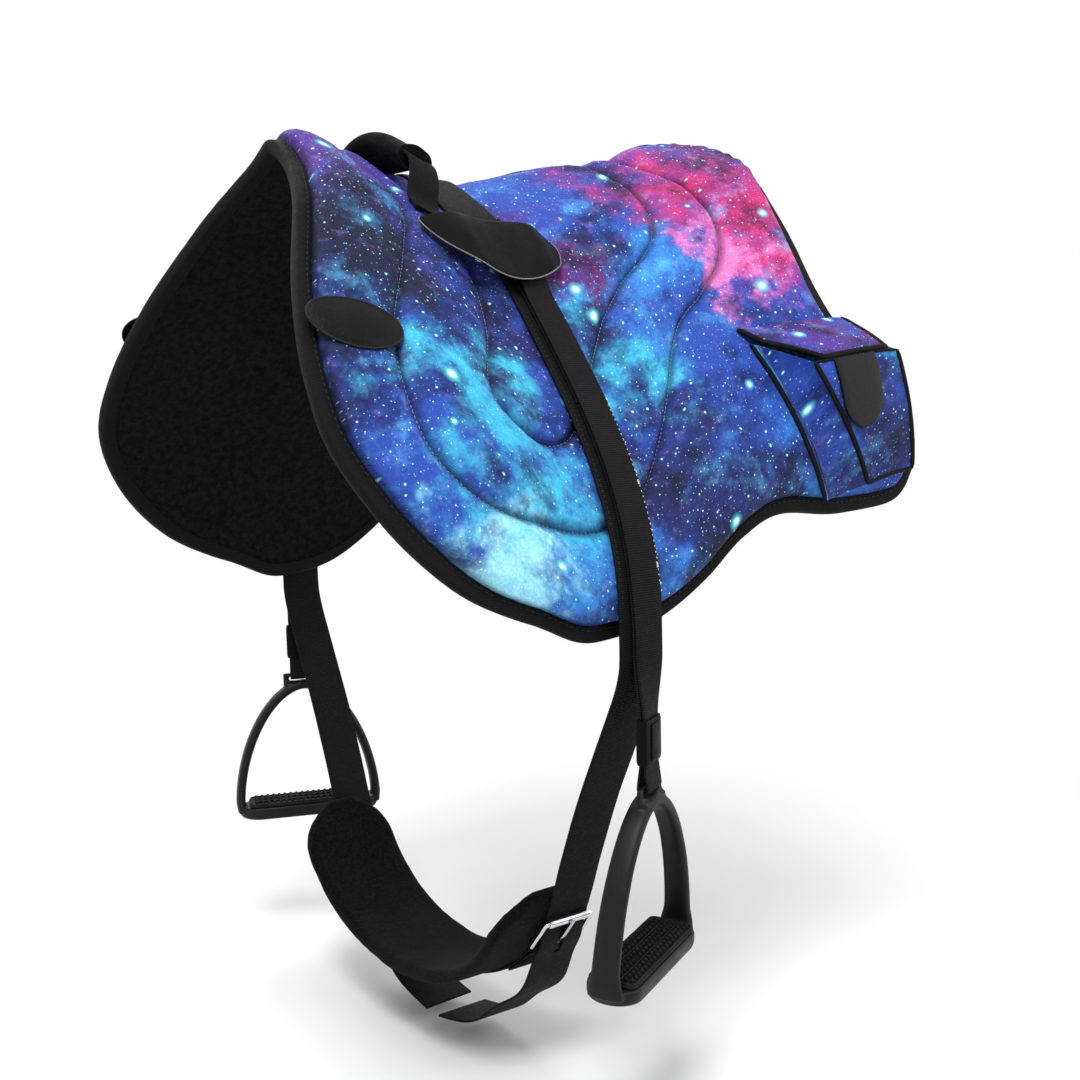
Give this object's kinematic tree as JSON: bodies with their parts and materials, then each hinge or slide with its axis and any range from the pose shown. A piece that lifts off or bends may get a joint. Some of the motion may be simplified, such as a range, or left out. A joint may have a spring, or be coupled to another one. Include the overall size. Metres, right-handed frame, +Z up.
{
  "type": "bareback pad",
  "caption": "Quilted bareback pad for a horse with girth, roller buckles, webbing stirrups, grab handle, ring covers and rear saddlebags.",
  "frame": {"origin": "on the horse's back under the spine of the pad, in the plane where the stirrup straps hang", "axes": "+Z up; +X along the spine towards the tail, so the head is towards -X; -Y is the horse's left side"},
  "size_m": [0.6177, 0.6422, 0.8471],
  "materials": {
    "printed_cloth": "printed woven polyester, matt, with a soft sheen",
    "foam": "open-cell foam",
    "black_cloth": "black fleece",
    "webbing": "black ribbed webbing",
    "girth_felt": "black felt",
    "vinyl": "black coated cloth, satin",
    "plastic": "moulded black plastic",
    "rubber": "studded black rubber",
    "steel": "plated steel"
  },
  "bodies": {
    "pad": {"back_strap": "webbing", "bag_body_left": "printed_cloth", "bag_body_right": "printed_cloth", "bag_fastener_left": "webbing", "bag_fastener_right": "webbing", "billet_left": "webbing", "billet_right": "webbing", "buckle_frame_left": "steel", "buckle_frame_right": "steel", "cover_left": "printed_cloth", "cover_right": "printed_cloth", "edge_binding": "webbing", "foam_left": "foam", "foam_right": "foam", "girth_band": "girth_felt", "girth_webbing": "webbing", "handle_grip": "black_cloth", "handle_strap": "webbing", "lining": "black_cloth", "name_patch_left": "vinyl", "name_patch_right": "vinyl"},
    "hanger_left": {"ring_left": "steel", "stirrup_strap_upper_left": "webbing"},
    "hanging_strap_left": {"stirrup_strap_lower_left": "webbing", "strap_keeper_left": "vinyl"},
    "stirrup_iron_left": {"stirrup_left": "plastic", "stirrup_tread_left": "rubber"},
    "ring_flap_left": {"ring_cover_left": "vinyl"},
    "roller_left": {"buckle_roller_left": "steel"},
    "tongue_left": {"buckle_tongue_left": "steel"},
    "bag_lid_left": {"bag_flap_left": "printed_cloth", "bag_tab_left": "vinyl"},
    "hanger_right": {"ring_right": "steel", "stirrup_strap_upper_right": "webbing"},
    "hanging_strap_right": {"stirrup_strap_lower_right": "webbing", "strap_keeper_right": "vinyl"},
    "stirrup_iron_right": {"stirrup_right": "plastic", "stirrup_tread_right": "rubber"},
    "ring_flap_right": {"ring_cover_right": "vinyl"},
    "roller_right": {"buckle_roller_right": "steel"},
    "tongue_right": {"buckle_tongue_right": "steel"},
    "bag_lid_right": {"bag_flap_right": "printed_cloth", "bag_tab_right": "vinyl"}
  },
  "joints": [
    {"name": "hanger_swing_left", "type": "hinge", "parent": "pad", "child": "hanger_left", "pos_m": [-0.0148, -0.1039, -0.0322], "axis": [-0.9994, 0.0214, 0.0288], "range_deg": [0, 45]},
    {"name": "strap_swing_left", "type": "hinge", "parent": "hanger_left", "child": "hanging_strap_left", "pos_m": [-0.003, -0.2818, -0.3402], "axis": [0, 1, 0], "range_deg": [-35, 35]},
    {"name": "stirrup_swing_left", "type": "hinge", "parent": "hanging_strap_left", "child": "stirrup_iron_left", "pos_m": [-0.003, -0.2818, -0.4812], "axis": [-0.9136, -0.4067, 0], "range_deg": [-20, 45]},
    {"name": "ring_flap_lift_left", "type": "hinge", "parent": "pad", "child": "ring_flap_left", "pos_m": [-0.0255, -0.0895, -0.0183], "axis": [-0.9944, 0.0154, 0.1048], "range_deg": [0, 45]},
    {"name": "roller_spin_left", "type": "hinge", "parent": "pad", "child": "roller_left", "pos_m": [-0.0044, -0.1797, -0.624], "axis": [-0.999, 0.0438, 0.0109], "continuous": true},
    {"name": "tongue_lift_left", "type": "hinge", "parent": "pad", "child": "tongue_left", "pos_m": [-0.0041, -0.1574, -0.6517], "axis": [0.999, -0.0438, -0.0109], "range_deg": [0, 50]},
    {"name": "bag_lid_lift_left", "type": "hinge", "parent": "pad", "child": "bag_lid_left", "pos_m": [0.2321, -0.2247, -0.1112], "axis": [-0.9808, 0.1761, -0.0834], "range_deg": [0, 110]},
    {"name": "hanger_swing_right", "type": "hinge", "parent": "pad", "child": "hanger_right", "pos_m": [-0.0148, 0.1039, -0.0322], "axis": [0.9994, 0.0214, -0.0288], "range_deg": [0, 45]},
    {"name": "strap_swing_right", "type": "hinge", "parent": "hanger_right", "child": "hanging_strap_right", "pos_m": [-0.003, 0.2818, -0.3402], "axis": [0, 1, 0], "range_deg": [-35, 35]},
    {"name": "stirrup_swing_right", "type": "hinge", "parent": "hanging_strap_right", "child": "stirrup_iron_right", "pos_m": [-0.003, 0.2818, -0.4812], "axis": [0.9136, -0.4067, 0], "range_deg": [-20, 45]},
    {"name": "ring_flap_lift_right", "type": "hinge", "parent": "pad", "child": "ring_flap_right", "pos_m": [-0.0255, 0.0895, -0.0183], "axis": [0.9944, 0.0154, -0.1048], "range_deg": [0, 45]},
    {"name": "roller_spin_right", "type": "hinge", "parent": "pad", "child": "roller_right", "pos_m": [-0.0044, 0.1797, -0.624], "axis": [0.999, 0.0438, -0.0109], "continuous": true},
    {"name": "tongue_lift_right", "type": "hinge", "parent": "pad", "child": "tongue_right", "pos_m": [-0.0041, 0.1574, -0.6517], "axis": [-0.999, -0.0438, 0.0109], "range_deg": [0, 50]},
    {"name": "bag_lid_lift_right", "type": "hinge", "parent": "pad", "child": "bag_lid_right", "pos_m": [0.2321, 0.2247, -0.1112], "axis": [0.9808, 0.1761, 0.0834], "range_deg": [0, 110]}
  ],
  "couplings": [
    {"joint": "ring_flap_lift_left", "follows": "hanger_swing_left", "ratio": 1},
    {"joint": "ring_flap_lift_right", "follows": "hanger_swing_right", "ratio": 1}
  ]
}
